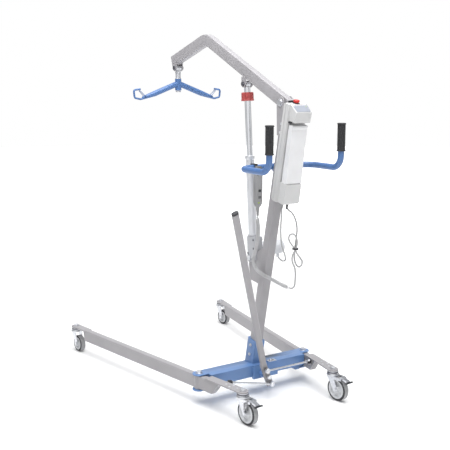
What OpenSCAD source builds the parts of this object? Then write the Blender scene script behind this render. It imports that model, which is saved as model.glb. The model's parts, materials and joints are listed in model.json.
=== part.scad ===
// Mobile patient lift: a wheeled base with two spreading legs, a leaning mast, an
// electrically lifted boom, a sling spreader bar and a battery control box.
// Millimetres. +X is forward (the open end of the legs), +Y the lift's left, +Z up.

/* [Base] */
// Distance between the two leg pivots
pivot_span = 550; // [520:5:600]
// Width of the crossmember, front to back
cross_w = 78; // [70:1:84]
// Height of the top face of the crossmember
cross_top = 131; // [129:1:133]
// Angle of each leg from straight ahead, as drawn
leg_splay = 9.5; // [7:0.5:10]
// Height of a leg tube
leg_h = 56; // [50:1:56]
// Width of a leg tube
leg_w = 30; // [26:1:32]

/* [Casters] */
// Diameter of a rear wheel
rear_wheel_d = 100; // [90:1:104]
// Diameter of a front wheel
front_wheel_d = 80; // [70:1:84]
// Width of a tyre
tyre_w = 26; // [22:1:28]

/* [Mast] */
// Side of the square mast tube
mast_w = 40; // [38:1:42]
// Backward lean of the mast
mast_lean = 11.8; // [11.4:0.1:12.2]
// Length of the mast tube
mast_len = 1100; // [1090:1:1105]

/* [Boom] */
// Depth of the boom tube
boom_h = 50; // [48:1:54]
// Width of the boom tube
boom_w = 30; // [28:1:31]
// Slope of the boom's long part, as drawn
boom_slope = 25; // [24:0.5:26]
// Downward slope of the boom's tip part, as drawn
tip_slope = 17; // [15:0.5:18]
// Boom pivot to the bend
boom_long = 635; // [620:1:645]
// Bend to the tip
boom_tip = 314; // [305:1:320]

/* [Actuator] */
// Diameter of the chromed rod
rod_d = 26; // [22:1:28]
// Diameter of the outer tube
tube_d = 36; // [34:1:38]

/* [Spreader bar] */
// Half the distance between the two hook centres
hook_y = 208; // [200:1:215]
// Diameter of a spreader arm
arm_d = 26; // [22:1:28]

/* [Control box] */
// Width of the control box
box_w = 84; // [80:1:90]

/* [Handles] */
// Distance between the two grips
grip_span = 348; // [330:1:360]
// Diameter of the handlebar tube
bar_d = 25; // [22:1:27]

/* [Hidden] */
$fn = 48;

// The origin lies under the middle of the lift's box, so the drawing frame,
// whose X is measured from the leg pivots, is moved back by this much.
centre_x = 298;

// Walls, clearances and bolts
wall = 3;
leg_wall = 2.5;
plate = 5;
gap = 0.3;
running = 0.05;
leg_bolt_r = 8;

// Heights in the base
leg_top = 124;
leg_bottom = leg_top - leg_h;
cross_h = 50;
cross_front = 28;
cross_mid = cross_front - cross_w / 2;
lower_plate_z = 60;
plate_top = leg_top + 6;

// Caster stations along a leg, measured from its pivot
rear_reach = 265;
front_reach = 946;
rear_trail = 32;
front_trail = 26;
rear_fork_top = leg_top - gap;
front_fork_top = leg_top - 6 - gap;

// Mast frame: origin at the mast's foot
foot_x = -2;
foot_z = cross_top;
head_z = 1120;
socket_h = 112;

// Boom pivot, actuator pivots and hanger pin, in the drawing frame (X, Z)
boom_pivot = [-209, 1251];
rod_top = [56, 1322];
rod_foot = [0, 594];
hanger_at = [634, 1396];
act_len = norm(rod_top - rod_foot);
act_tilt = atan2(rod_top.x - rod_foot.x, rod_top.y - rod_foot.y);
tube_from = 90;
tube_to = 432;
gearbox_w = 44;
gear_drop = 8; // housing below the foot pin
motor_high = 32; // motor axis above the foot pin
tongue = 24;
ring_low = 70;
ring_h = 35;

// Lever linkage
lever_x = -105;
lever_pivot_z = 95;
lever_tilt = 21.2;
lever_lean = 14;
lever_foot = 50;
crank_r = 34;
lever_len = 774;
tie_x = -97;
tie_z = 114;
tie_end_y = 234;

// Handlebar
bar_x = -149;
bar_z = 995;
grip_x = -345;
grip_top = 1172;
grip_low = 1062;

// Control box levels in the mast frame
box_low = 756;
battery_low = 841;
battery_high = 1074;
box_high = 1150;
box_front = -mast_w / 2 - 0.5;
box_face = -61;
battery_w = box_w - 8;

// Handset place, top and bottom
handset_x = -176;
handset_y = 105;
handset_top = 1004;
handset_low = 842;

// Handset cord: from its gland, through a tied bundle of loops, to the curly part
cord_d = 6;
cord_route = [[-214, -12, 845], [-212, -12, 835], [-214, -20, 823], [-216, -33, 813],
    [-219, -44, 797], [-222, -51, 778], [-225, -54, 758], [-228, -53, 737], [-230, -49, 714],
    [-232, -44, 691], [-233, -41, 668], [-234, -48, 648], [-235, -64, 628], [-236, -75, 611],
    [-236, -72, 595], [-236, -57, 590], [-237, -42, 605], [-238, -34, 627], [-239, -33, 647],
    [-240, -32, 666], [-241, -22, 681], [-242, -8, 697], [-243, 0, 714], [-243, -6, 728],
    [-244, -22, 730], [-244, -36, 717], [-245, -41, 698], [-246, -39, 681], [-247, -30, 664],
    [-247, -19, 647], [-247, -15, 628], [-246, -21, 609], [-244, -31, 592], [-240, -38, 571],
    [-236, -42, 550], [-232, -44, 530], [-228, -45, 513], [-221, -43, 501], [-212, -38.8, 496.6],
    [-205, -36, 498]];
// Curly part: across the back of the mast, over the actuator's foot, up to the handset
coil_d = 16.5;
coil_route = [[-205, -36, 498], [-185, -28, 502], [-160, -14, 512], [-135, 8, 528],
    [-112, 30, 543], [-85, 42, 560], [-66, 45, 585], [-68, 49, 612], [-105, 64, 650],
    [-150, 85, 712], [-172, 100, 760], [-176, 105, 783], [-176, 105, 806]];
motor_cord_d = 6;
motor_route = [[-214, 14, 845], [-212, 14, 835], [-210, 12, 822], [-206, 10, 794],
    [-202, 9, 766], [-196, 5, 738], [-186, -4, 708], [-170, -20, 680], [-146, -44, 651],
    [-119, -74, 622], [-94, -98, 600], [-68, -118, 582], [-43, -131, 570], [-20, -136, 566],
    [-4, -134, 573], [2, -131, 583], [3, -130, 593]];

function unit(v) = v / norm(v);
function flip(i) = i == 0 ? 1 : -1;

// ---- Placing helpers ----

// Draws in the part's own frame what is given in the drawing frame
module placed() { translate([-centre_x, 0, 0]) children(); }

// Draws in the mast's own frame: X forward of the tube, Z along it
module on_mast() { translate([foot_x, 0, foot_z]) rotate([0, -mast_lean, 0]) children(); }

// Draws along the actuator, with Z from its foot pivot to its top pivot
module on_actuator() { translate([rod_foot.x, 0, rod_foot.y]) rotate([0, act_tilt, 0]) children(); }

// Draws along a leg: X forward from its pivot; side is 1 on the left, -1 on the right
module on_leg(side) { translate([0, side * pivot_span / 2, 0]) rotate([0, 0, side * leg_splay]) children(); }

// Draws in the lever's own frame, with Z up along the lever from its pivot
module on_lever() { translate([lever_x, 0, lever_pivot_z]) rotate([-lever_tilt, 0, 0]) children(); }

// A flat outline in X and Z, given thickness t in Y about the middle plane
module upright(t) { rotate([90, 0, 0]) linear_extrude(t, center = true) children(); }

// A cylinder along Y, centred on a point
module crossbar(r, l) { rotate([90, 0, 0]) cylinder(h = l, r = r, center = true); }

// A hexagon head or nut of across-corner radius r
module hexagon(r, h) { cylinder(h = h, r = r, $fn = 6); }

// A block with its four upright edges rounded
module rounded_block(x, y, z, r) {
    linear_extrude(z) rounded_sheet(x, y, r);
}

module rounded_sheet(x, y, r) {
    square([x - 2 * r, y], center = true);
    square([x, y - 2 * r], center = true);
    for (sx = [-1, 1], sy = [-1, 1]) translate([sx * (x / 2 - r), sy * (y / 2 - r)]) circle(r);
}

// A round bar from a to b
module bar(a, b, r) {
    d = b - a;
    translate(a) rotate([0, acos(d.z / norm(d)), atan2(d.y, d.x)]) cylinder(h = norm(d), r = r);
}

// A round bar bent along points, each corner with the same bend radius. A straight
// runs a lap into each bend, which is thinner by a seam, so the pieces fuse.
module bent_bar(points, bend, r) {
    last = len(points) - 1;
    cuts = [for (i = [0:last]) i == 0 || i == last ? 0 : bend_cut(points, i, bend)];
    for (i = [0:last - 1]) {
        along = unit(points[i + 1] - points[i]);
        bar(points[i] + along * max(cuts[i] - lap, 0), points[i + 1] - along * max(cuts[i + 1] - lap, 0), r);
    }
    for (i = [1:last - 1]) elbow(points, i, bend, r - seam);
}

lap = 0.4;
seam = 0.02;
function turn(points, i) =
    acos(unit(points[i] - points[i - 1]) * unit(points[i + 1] - points[i]));
function bend_cut(points, i, bend) = bend * tan(turn(points, i) / 2);

module elbow(points, i, bend, r) {
    into = unit(points[i] - points[i - 1]);
    onward = unit(points[i + 1] - points[i]);
    side = unit(onward - into * (into * onward));
    hub = points[i] - into * bend_cut(points, i, bend) + side * bend;
    up = cross(-side, into);
    multmatrix([[-side.x, into.x, up.x, hub.x], [-side.y, into.y, up.y, hub.y],
        [-side.z, into.z, up.z, hub.z]])
        rotate_extrude(angle = turn(points, i)) translate([bend, 0]) circle(r);
}

// A flexible tube through route, with sides flats round it; across is a direction
// that the route never runs along
module cord(route, d, sides, across) {
    last = len(route) - 1;
    ahead = [for (i = [0:last]) unit(route[min(i + 1, last)] - route[max(i - 1, 0)])];
    ring_axes = [for (i = [0:last]) let (a = unit(cross(ahead[i], across))) [a, cross(ahead[i], a)]];
    points = [for (i = [0:last], k = [0:sides - 1])
        route[i] + d / 2 * (cos(360 * k / sides) * ring_axes[i][0] + sin(360 * k / sides) * ring_axes[i][1])];
    skin = [for (i = [0:last - 1], k = [0:sides - 1], half = [0, 1])
        let (a = i * sides + k, b = i * sides + (k + 1) % sides)
        half == 0 ? [a, b, b + sides] : [a, b + sides, a + sides]];
    start = [for (k = [0:sides - 1]) sides - 1 - k];
    end = [for (k = [0:sides - 1]) last * sides + k];
    polyhedron(points, concat([start], skin, [end]));
}

// ---- Base ----

// Crossmember with its pivot plates, and the leaning mast socket welded on it
module base_frame() {
    color("royalblue") difference() {
        union() {
            translate([cross_mid - cross_w / 2, -245, cross_top - cross_h]) cube([cross_w, 490, cross_h]);
            for (s = [-1, 1]) {
                pivot_plate(s, cross_top - plate);
                pivot_plate(s, lower_plate_z);
                translate([-34, s * 219 - 12, lower_plate_z]) cube([54, 24, 24]);
            }
            intersection() {
                on_mast() translate([-28, -25, -20]) cube([56, 50, socket_h + 20]);
                translate([-200, -60, cross_top - 1]) cube([400, 120, 300]);
            }
        }
        translate([cross_mid - cross_w / 2 + wall, -242, cross_top - cross_h + wall])
            cube([cross_w - 2 * wall, 484, cross_h - plate - wall]);
        on_mast() translate([-mast_w / 2 - gap, -mast_w / 2 - gap, 6])
            cube([mast_w + 2 * gap, mast_w + 2 * gap, socket_h + 20]);
        for (s = [-1, 1]) translate([0, s * pivot_span / 2, 0]) cylinder(h = 200, r = leg_bolt_r + running);
    }
}

module pivot_plate(s, z) {
    translate([0, s * pivot_span / 2, z]) cylinder(h = plate, r = cross_front);
    translate([-cross_front, s > 0 ? 207 : -pivot_span / 2, z]) cube([2 * cross_front, 68, plate]);
}

// Leg pivot bolts with their heads and nuts
module leg_pivot_bolts() {
    color("silver") for (s = [-1, 1]) translate([0, s * pivot_span / 2, 0]) {
        translate([0, 0, lower_plate_z - 9]) cylinder(h = cross_top - lower_plate_z + 9, r = leg_bolt_r);
        translate([0, 0, cross_top]) cylinder(h = 2, r = 15);
        translate([0, 0, cross_top + 2]) hexagon(13, 7);
        translate([0, 0, lower_plate_z - 8.5]) difference() {
            hexagon(14, 8.5);
            translate([0, 0, -1]) cylinder(h = 11, r = leg_bolt_r);
        }
    }
}

// Bent plate on the crossmember that carries the lever's pivot
module lever_bracket() {
    color("gainsboro") difference() {
        union() {
            translate([-64, -88, cross_top]) cube([34, 44, 4]);
            translate([-64, -88, 74]) cube([4, 128, cross_top - 70]);
            translate([-64, 36, 74]) cube([14, 4, 50]);
            translate([-86, 0, lever_pivot_z]) rotate([0, 90, 0]) cylinder(h = 36, r = 13);
        }
        translate([-100, 0, lever_pivot_z]) rotate([0, 90, 0]) cylinder(h = 60, r = 6 + running);
    }
}

// Bolt that the lever turns on
module lever_pivot_bolt() {
    color("silver") {
        translate([-120, 0, lever_pivot_z]) rotate([0, 90, 0]) cylinder(h = 70, r = 6);
        translate([-127, 0, lever_pivot_z]) rotate([0, 90, 0]) hexagon(10, 7);
    }
}

// ---- Mast ----

module mast() {
    color("darkgray") on_mast() difference() {
        translate([-mast_w / 2, -mast_w / 2, 6]) cube([mast_w, mast_w, mast_len - 6]);
        translate([-mast_w / 2 + wall, -mast_w / 2 + wall, 12])
            cube([mast_w - 2 * wall, mast_w - 2 * wall, mast_len]);
    }
}

// Two cheek plates that hold the boom's pivot, and the cap that closes the mast
module mast_head() {
    ear_gap = mast_w / 2;
    pivot_local = to_mast(boom_pivot);
    color("darkgray") difference() {
        union() {
            for (s = [-1, 1]) translate([0, s * (ear_gap + plate / 2), 0]) upright(plate) {
                translate(boom_pivot) circle(24);
                polygon([from_mast([-18, 1010]), from_mast([20, 1010]), boom_pivot + [24, 0],
                    boom_pivot + [-24, 0]]);
            }
            on_mast() translate([-mast_w / 2, -ear_gap, mast_len]) cube([mast_w * 0.6, 2 * ear_gap, 3]);
        }
        translate([boom_pivot.x, 0, boom_pivot.y]) crossbar(8 + running, 100);
    }
}

function to_mast(p) = [(p.x - foot_x) * cos(mast_lean) + (p.y - foot_z) * sin(mast_lean),
    (p.y - foot_z) * cos(mast_lean) - (p.x - foot_x) * sin(mast_lean)];
function from_mast(p) = [foot_x + p.x * cos(mast_lean) - p.y * sin(mast_lean),
    foot_z + p.x * sin(mast_lean) + p.y * cos(mast_lean)];

// Button-head screws in the mast's sides, at the socket and at the cheek plates
module frame_screws() {
    color("silver") {
        on_mast() for (s = [-1, 1], z = [40, 85]) translate([0, s * 25, z]) screw(s, 7);
        on_mast() for (s = [-1, 1], z = [1025, 1060]) translate([0, s * (mast_w / 2 + plate), z]) screw(s, 5);
    }
}

module screw(s, r) {
    rotate([-s * 90, 0, 0]) {
        cylinder(h = 3, r = r);
        translate([0, 0, 3]) cylinder(h = 2, r1 = r, r2 = r - 3);
    }
}

module boom_pivot_bolt() {
    color("silver") translate([boom_pivot.x, 0, boom_pivot.y]) {
        crossbar(8, 2 * (mast_w / 2 + plate) + 8);
        for (s = [-1, 1]) rotate([-s * 90, 0, 0]) translate([0, 0, mast_w / 2 + plate]) {
            cylinder(h = 2, r = 15);
            translate([0, 0, 2]) cylinder(h = 6, r = 12);
        }
    }
}

// Two gusset plates welded to the mast's front, with a boss for the actuator's foot pin
module actuator_bracket() {
    color("darkgray") difference() {
        union() {
            for (s = [-1, 1]) translate([0, s * (tongue / 2 - plate / 2), 0]) upright(plate) {
                polygon([from_mast([mast_w / 2, 362]), [6, 497], [18, 560], rod_foot + [17, 0], rod_foot + [-8, 15],
                    from_mast([mast_w / 2, 530])]);
                translate(rod_foot) circle(17);
            }
            translate([rod_foot.x, 0, rod_foot.y]) crossbar(14, tongue);
        }
        translate([rod_foot.x, 0, rod_foot.y]) crossbar(7 + running, 100);
    }
}

// Pin with a flat head at each side of the gear housing; it turns with the actuator
module actuator_foot_pin() {
    color("silver") translate([rod_foot.x, 0, rod_foot.y]) {
        crossbar(7, gearbox_w);
        for (s = [-1, 1]) rotate([-s * 90, 0, 0]) translate([0, 0, gearbox_w / 2]) cylinder(h = 5, r = 11);
    }
}

// ---- Handlebar ----

module handlebar() {
    half = grip_span / 2;
    color("royalblue") {
        bent_bar([[grip_x, half, grip_top - 6], [grip_x, half, bar_z], [bar_x, half, bar_z],
            [bar_x, -half, bar_z], [grip_x, -half, bar_z], [grip_x, -half, grip_top - 6]], 48, bar_d / 2);
        on_mast() translate([mast_w / 2, -18, to_mast([bar_x, bar_z]).y - 16]) cube([7, 36, 32]);
    }
}

module grip(s) {
    color("black") translate([grip_x, s * grip_span / 2, grip_low]) difference() {
        union() {
            cylinder(h = grip_top - grip_low, r = 16);
            cylinder(h = 4, r = 18);
            translate([0, 0, grip_top - grip_low - 5]) cylinder(h = 5, r = 17.5);
        }
        translate([0, 0, -1]) cylinder(h = grip_top - 6 - grip_low + 1, r = bar_d / 2);
    }
}
module grip_left() { grip(1); }
module grip_right() { grip(-1); }

// ---- Control box ----

// Housing: hollow electronics part, back plate beside the battery, and the head
module control_box() {
    color("whitesmoke") on_mast() difference() {
        union() {
            upright(box_w) polygon([[box_front, box_low + 6], [box_front, box_high - 4], [box_front - 8, box_high],
                [box_face + 5, box_high], [box_face, box_high - 5], [box_face, box_low + 5], [box_face + 5, box_low],
                [box_front - 8, box_low]]);
            upright(battery_w) polygon([[box_face + 10, box_high - 1.5], [box_face - 3, box_high - 1.5],
                [-99, box_high - 22], [-97, battery_high + 12], [box_face + 10, battery_high + 12]]);
            upright(battery_w) polygon([[box_face + 10, battery_low], [-100, battery_low], [-103, box_low + 8],
                [-96, box_low + 1.5], [box_face + 10, box_low + 1.5]]);
        }
        upright(battery_w - 6) polygon([[box_front - 3, box_low + 8], [box_front - 3, battery_low - 3],
            [-97, battery_low - 3], [-100, box_low + 9], [-94, box_low + 4.5], [box_front - 8, box_low + 4.5]]);
        translate([button_x, 0, box_high - 8]) cylinder(h = 20, r = 9);
    }
}
button_x = -42;

// Circuit board inside the lower part of the housing
module control_board() {
    color("darkgreen") on_mast() {
        translate([-62, -30, box_low + 12]) cube([2, 60, 62]);
        translate([-60, -20, box_low + 30]) cube([16, 18, 24]);
        translate([-60, 4, box_low + 22]) cube([10, 16, 16]);
    }
}

// Battery pack with its grip lip along the top edge
module battery_pack() {
    color("white") on_mast() upright(battery_w)
        polygon([[-66 - gap, battery_low + gap], [-62.5 - gap, battery_high - 4], [-62.5 - gap, battery_high],
            [-84, battery_high], [-86, battery_high - 4], [-86, battery_high - 14],
            [-83, battery_high - 18], [-98, battery_low + 4], [-95, battery_low + gap]]);
}

module emergency_button() {
    color("red") on_mast() translate([button_x, 0, box_high - 3]) {
        cylinder(h = 8, r = 7);
        translate([0, 0, 8]) cylinder(h = 7, r = 12);
        translate([0, 0, 15]) cylinder(h = 2, r1 = 12, r2 = 10);
    }
}

// Two cable glands in the bottom of the control box
module cable_glands() {
    color("dimgray") for (start = [cord_route[0], motor_route[0]]) on_mast() {
        foot = to_mast([start.x, start.z]);
        translate([foot.x, start.y, foot.y]) cylinder(h = box_low - foot.y, r = 5);
        translate([foot.x, start.y, box_low - 5]) cylinder(h = 5, r = 7.5);
    }
}

module motor_cable() { color("lightgray") cord(motor_route, motor_cord_d, 8, [0.4, 1, 0]); }

// ---- Handset ----

module handset() {
    color("gray") translate([handset_x, handset_y, handset_low]) {
        difference() {
            hull() {
                translate([0, 0, 14]) rounded_block(26, 36, 128, 8);
                translate([0, 0, 0]) rounded_block(20, 24, 6, 7);
                translate([0, 0, 156]) rounded_block(18, 30, 6, 7);
            }
            for (z = [button_low, button_high]) translate([-20, -7, z]) cube([14, 14, 11]);
        }
        translate([11, -6, 130]) cube([2.8, 12, 40]);
        translate([11, -6, 166]) cube([32.5, 12, 4]);
        translate([40.5, -6, 156]) cube([3, 12, 14]);
    }
}
button_low = 34;
button_high = 60;

module button(z) {
    color("dimgray") translate([handset_x - 14, handset_y - 7 + gap, handset_low + z + gap])
        cube([6, 14 - 2 * gap, 11 - 2 * gap]);
}
module up_button() { button(button_high); }
module down_button() { button(button_low); }

module handset_relief() {
    color("gray") translate([handset_x, handset_y, handset_low - 36])
        cylinder(h = 36, r1 = 5, r2 = 8);
}

module handset_cord() { color("lightgray") cord(cord_route, cord_d, 8, [1, 0, 0]); }
module handset_coil() { color("lightgray") cord(coil_route, coil_d, 12, [1, 0, 0]); }

// ---- Boom ----

bend_r = 90;
bend_turn = boom_slope + tip_slope;
bend_cut_l = bend_r * tan(bend_turn / 2);
boom_tail = 33;

// The boom's tube profile swept up the long part, round the bend and down the tip
module boom_tube(h, w, over) {
    translate([boom_pivot.x, 0, boom_pivot.y]) rotate([0, -boom_slope, 0]) {
        translate([-boom_tail - over, -w / 2, -h / 2])
            cube([boom_long - bend_cut_l + boom_tail + over + lap, w, h]);
        translate([boom_long - bend_cut_l, 0, -bend_r]) rotate([90, 0, 0]) rotate([0, 0, 90 - bend_turn])
            rotate_extrude(angle = bend_turn) translate([bend_r, 0]) square([h - seam, w - seam], center = true);
        translate([boom_long, 0, 0]) rotate([0, bend_turn, 0])
            translate([bend_cut_l - lap, -w / 2, -h / 2]) cube([boom_tip - bend_cut_l + over + lap, w, h]);
    }
}

module boom() {
    color("darkgray") {
        difference() {
            union() {
                boom_tube(boom_h, boom_w, 0);
                boom_ears(rod_top, boom_ear_top(rod_top.x));
                boom_ears(hanger_at, tip_ear_top(hanger_at.x));
            }
            boom_tube(boom_h - 2 * wall, boom_w - 2 * wall, 1);
            translate([boom_pivot.x, 0, boom_pivot.y]) crossbar(12, 60);
            translate([hanger_at.x, 0, hanger_at.y]) crossbar(6, 60);
            translate([rod_top.x, 0, rod_top.y]) crossbar(6, 60);
        }
        // Pivot bush through the boom, out to the cheeks
        translate([boom_pivot.x, 0, boom_pivot.y]) difference() {
            crossbar(13, mast_w - 2 * gap);
            crossbar(8 + running, 60);
        }
    }
}
function boom_ear_top(x) = boom_pivot.y + (x - boom_pivot.x) * tan(boom_slope) - boom_h / 2 / cos(boom_slope);
function tip_ear_top(x) = bend_corner.y - (x - bend_corner.x) * tan(tip_slope) - boom_h / 2 / cos(tip_slope);
bend_corner = boom_pivot + boom_long * [cos(boom_slope), sin(boom_slope)];

module boom_ears(at, top) {
    for (s = [-1, 1]) translate([at.x, s * (boom_w / 2 + plate / 2 - 1), at.y]) {
        crossbar(15, plate - 0.01);
        translate([-15, -plate / 2, 0]) cube([30, plate, top - at.y + 12]);
    }
}

// Plastic caps in both ends of the boom
module boom_end_caps() {
    color("black") translate([boom_pivot.x, 0, boom_pivot.y]) rotate([0, -boom_slope, 0]) {
        translate([-boom_tail - 3, -boom_w / 2, -boom_h / 2]) cube([3, boom_w, boom_h]);
        translate([boom_long, 0, 0]) rotate([0, bend_turn, 0])
            translate([boom_tip, -boom_w / 2, -boom_h / 2]) cube([3, boom_w, boom_h]);
    }
}

ear_out = boom_w / 2 + plate - 1;

module hanger_pin() {
    color("silver") translate([hanger_at.x, 0, hanger_at.y]) {
        crossbar(6, 2 * ear_out);
        for (s = [-1, 1]) rotate([-s * 90, 0, 0]) translate([0, 0, ear_out]) hexagon(10, 6);
    }
}

// The actuator's top pin, as its two bolt heads with their stubs in the ears
module rod_pin() {
    color("silver") for (s = [-1, 1]) translate([rod_top.x, 0, rod_top.y]) rotate([-s * 90, 0, 0]) {
        translate([0, 0, ear_out - plate]) cylinder(h = plate, r = 6);
        translate([0, 0, ear_out]) hexagon(10, 6);
    }
}

// ---- Actuator ----

// Gear housing, forked at its foot around the bracket
module gear_housing() {
    color("gainsboro") on_actuator() difference() {
        union() {
            crossbar(18, gearbox_w);
            translate([-12, 0, -gear_drop]) rounded_block(60, gearbox_w, tube_from + gear_drop, 8);
        }
        crossbar(7, 80);
        translate([-60, -tongue / 2 - 0.5, -30]) cube([120, tongue + 1, 64]);
    }
}

module motor() {
    color("white") on_actuator() translate([0, -gearbox_w / 2, motor_high]) rotate([90, 0, 0]) {
        cylinder(h = 8, r = 19);
        translate([0, 0, 8]) cylinder(h = 112, r = 30);
        translate([0, 0, 120]) cylinder(h = 6, r1 = 30, r2 = 25);
    }
}

module actuator_tube() {
    color("silver") on_actuator() difference() {
        translate([0, 0, tube_from]) cylinder(h = tube_to - tube_from, r = tube_d / 2);
        translate([0, 0, tube_from + 8]) cylinder(h = tube_to, r = rod_d / 2 + running);
    }
}

module rod() {
    color("silver") on_actuator() translate([0, 0, act_len - ring_low - 250 - 60])
        cylinder(h = 250 + 60 + ring_low - 14, r = rod_d / 2);
}

module rod_eye() {
    color("gainsboro") on_actuator() translate([0, 0, act_len]) difference() {
        union() {
            crossbar(13, 22);
            translate([-11, -11, -14]) cube([22, 22, 12]);
        }
        crossbar(6.5, 40);
    }
}

// Fluted ring turned by hand to lower the boom without power
module lowering_ring() {
    color("firebrick") on_actuator() translate([0, 0, act_len - ring_low]) difference() {
        union() {
            cylinder(h = ring_h, r = 24);
            cylinder(h = 6, r = 27);
            for (a = [0:45:315]) rotate([0, 0, a]) translate([22, 0, 0]) cylinder(h = ring_h - 3, r = 5);
        }
        translate([0, 0, -1]) cylinder(h = ring_h + 2, r = rod_d / 2 + running);
    }
}

// ---- Hanger and spreader bar ----

hub_low = 1292;
hub_high = 1345;

module hanger() {
    color("gainsboro") translate([hanger_at.x, 0, 0]) {
        difference() {
            union() {
                translate([0, 0, hanger_at.y]) crossbar(12, 2 * ear_out - 2 * plate - 2 * gap);
                translate([-10, -10, 1370]) cube([20, 20, hanger_at.y - 1370]);
                translate([0, 0, hub_high + 0.5]) cylinder(h = 1376 - hub_high, r = 12);
            }
            translate([0, 0, hanger_at.y]) crossbar(6 + running, 60);
        }
        translate([0, 0, hub_low - 9]) cylinder(h = hub_high - hub_low + 20, r = 7);
    }
}

module spreader_bar() {
    color("royalblue") translate([hanger_at.x, 0, 0]) difference() {
        union() {
            translate([0, 0, hub_low]) cylinder(h = hub_high - hub_low, r = 15);
            for (s = [-1, 1]) {
                spreader_arm(s);
                bent_bar([for (p = hook_line) [0, s * p.x, p.y]], 9, 4.5);
            }
        }
        translate([0, 0, hub_low - 5]) cylinder(h = 80, r = 7 + running);
        for (s = [-1, 1]) translate([0, s * gate_foot.x, gate_foot.y]) rotate([0, 90, 0])
            cylinder(h = 40, r = gate_r + running, center = true);
    }
}

// An arm: a straight tube from the hub that narrows to a rounded end under the hook
module spreader_arm(s) {
    root = [0, s * 4, 1323];
    waist = [0, s * 128, 1277];
    tip = [0, s * 186, 1259];
    bar(root, waist, arm_d / 2);
    translate(waist) sphere(arm_d / 2 + seam);
    taper(waist, tip, arm_d / 2, 8);
    translate(tip) sphere(8 + seam);
}

// A bar from a to b whose radius runs from r1 to r2
module taper(a, b, r1, r2) {
    d = b - a;
    translate(a) rotate([0, acos(d.z / norm(d)), atan2(d.y, d.x)]) cylinder(h = norm(d), r1 = r1, r2 = r2);
}
hook_line = [[180, 1257], [hook_y - 6, 1252], [hook_y + 24, 1258], [hook_y + 28, 1294], [hook_y - 6, 1298]];

module spreader_nut() {
    color("dimgray") translate([hanger_at.x, 0, hub_low - 9]) {
        difference() {
            hexagon(12, 8);
            translate([0, 0, -1]) cylinder(h = 12, r = 7);
        }
    }
}

// Sprung wire gate that closes a hook from below its tip, hinged through the arm
gate_foot = [180, 1265];
gate_tip = [hook_y - 3, 1290];
gate_r = 1.5;
module hook_gate(s) {
    color("midnightblue") translate([hanger_at.x, 0, 0]) {
        translate([0, s * gate_foot.x, gate_foot.y]) rotate([0, 90, 0]) cylinder(h = 22, r = gate_r, center = true);
        for (x = [-10, 10]) translate([x, s * gate_foot.x, gate_foot.y]) rotate([0, 90, 0])
            cylinder(h = 2, r = 3.5, center = true);
        for (x = [-10, 10]) bar([x, s * gate_foot.x, gate_foot.y], [x * 0.7, s * gate_tip.x, gate_tip.y], gate_r);
        translate([0, s * gate_tip.x, gate_tip.y]) rotate([0, 90, 0]) cylinder(h = 16, r = gate_r + 0.1, center = true);
    }
}
module hook_gate_left() { hook_gate(1); }
module hook_gate_right() { hook_gate(-1); }

// ---- Leg-spreading lever and its tie rods ----

// Flat-oval tube that leans back from a crank plate, which carries two ball studs
module lever() {
    color("darkgray") on_lever() difference() {
        union() {
            lever_tube() rounded_block(18, 30, lever_len, 8.9);
            translate([-4, -15, -46]) cube([8, 30, 110]);
            for (z = [-crank_r, crank_r]) translate([-14, 0, z]) rotate([0, 90, 0]) cylinder(h = 18, r = 6);
            for (z = [-crank_r, crank_r]) translate([-27, 0, z]) rotate([0, 90, 0]) cylinder(h = 30, r = 4.95);
        }
        lever_tube() translate([0, 0, 18]) rounded_block(18 - 2 * wall, 30 - 2 * wall, lever_len, 5.9);
        translate([-40, 0, 0]) rotate([0, 90, 0]) cylinder(h = 80, r = 6 + running);
    }
}
module lever_tube() { translate([0, 0, lever_foot]) rotate([0, -lever_lean, 0]) children(); }

module lever_cap() {
    color("black") on_lever() lever_tube() translate([0, 0, lever_len]) rounded_block(18, 30, 10, 8.9);
}

function stud(z) = [lever_x - 20.5, z * sin(lever_tilt), lever_pivot_z + z * cos(lever_tilt)];

// Tie rod from a crank stud to a leg, with a ball joint housing at each end
module tie_rod(s) {
    from = stud(-s * crank_r);
    to = [tie_x, s * tie_end_y, tie_z];
    color("silver") {
        translate(from) rotate([0, 90, 0]) difference() {
            cylinder(h = 10, r = 11, center = true);
            cylinder(h = 20, r = 5, center = true);
        }
        bar(from + unit(to - from) * 10, to - unit(to - from) * 7, 4);
        translate(to) sphere(8.5);
        translate(to - [0, 0, 9]) cylinder(h = 9, r = 4);
    }
}
module tie_rod_left() { tie_rod(1); }
module tie_rod_right() { tie_rod(-1); }

// ---- Legs ----

module leg(s) {
    color("darkgray") on_leg(s) difference() {
        union() {
            upright(leg_w) polygon([[-138, leg_top], [-92, leg_bottom], [852, leg_bottom], [862, leg_top]]);
            caster_plate(-rear_reach, -60, 23, 40);
            translate([-112, s > 0 ? -leg_w / 2 - 18 : leg_w / 2 - 1, tie_z - 14]) cube([20, 19, 4]);
            translate([0, 0, leg_bottom - 2.5]) cylinder(h = leg_h + 4, r = 20);
            translate([0, 0, leg_top - 6]) {
                translate([front_reach, 0, 0]) cylinder(h = 6, r = 24);
                translate([840, -20, 0]) cube([front_reach - 840, 40, 6]);
            }
        }
        upright(leg_w - 2 * leg_wall) difference() {
            polygon([[-124, leg_top - leg_wall], [-84, leg_bottom + leg_wall], [846, leg_bottom + leg_wall],
                [854, leg_top - leg_wall]]);
            translate([-22, 0]) square([44, 200]);
        }
        translate([0, 0, -10]) cylinder(h = 200, r = leg_bolt_r + 2 * running);
        for (x = [-rear_reach, front_reach]) translate([x, 0, 90]) cylinder(h = 60, r = 6);
    }
}

// Plate on top of a leg that carries a caster, with a round end
module caster_plate(x, inner, r, w) {
    translate([0, 0, leg_top]) {
        translate([x, 0, 0]) cylinder(h = 6, r = r);
        translate([x, -w / 2, 0]) cube([inner - x, w, 6]);
    }
}
module leg_left() { leg(1); }
module leg_right() { leg(-1); }

// ---- Casters ----

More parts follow.
